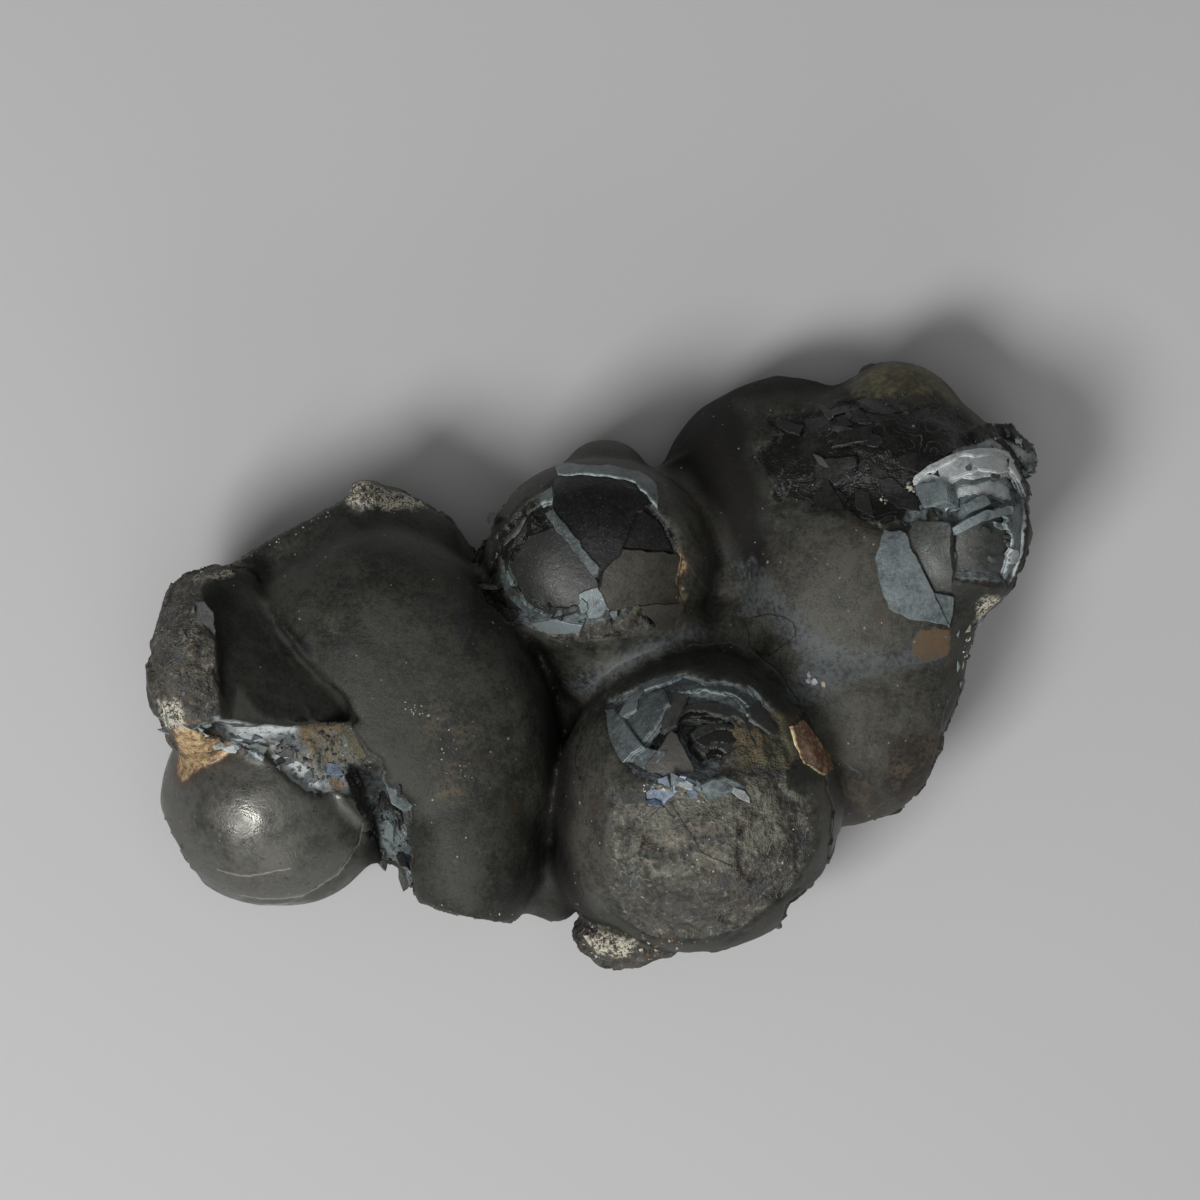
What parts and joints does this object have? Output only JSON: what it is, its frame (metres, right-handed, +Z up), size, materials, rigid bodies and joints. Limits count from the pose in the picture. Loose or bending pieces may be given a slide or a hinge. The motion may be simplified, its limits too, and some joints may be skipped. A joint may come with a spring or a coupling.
{
  "type": "coronadite specimen",
  "caption": "Botryoidal lump of dark manganese ore with domed lobes, broken concentric shells, a crevice and a flat back to lie on.",
  "frame": {"origin": "middle of the specimen's box, on the flat back that it lies on", "axes": "+X along the length, +Y across it, +Z up out of the rest face through the lobes"},
  "size_m": [0.1211, 0.0822, 0.0479],
  "materials": {
    "coronadite": "satin black skin on the lobes, duller broken rock"
  },
  "bodies": {
    "root": {"coronadite": "coronadite"}
  },
  "joints": []
}
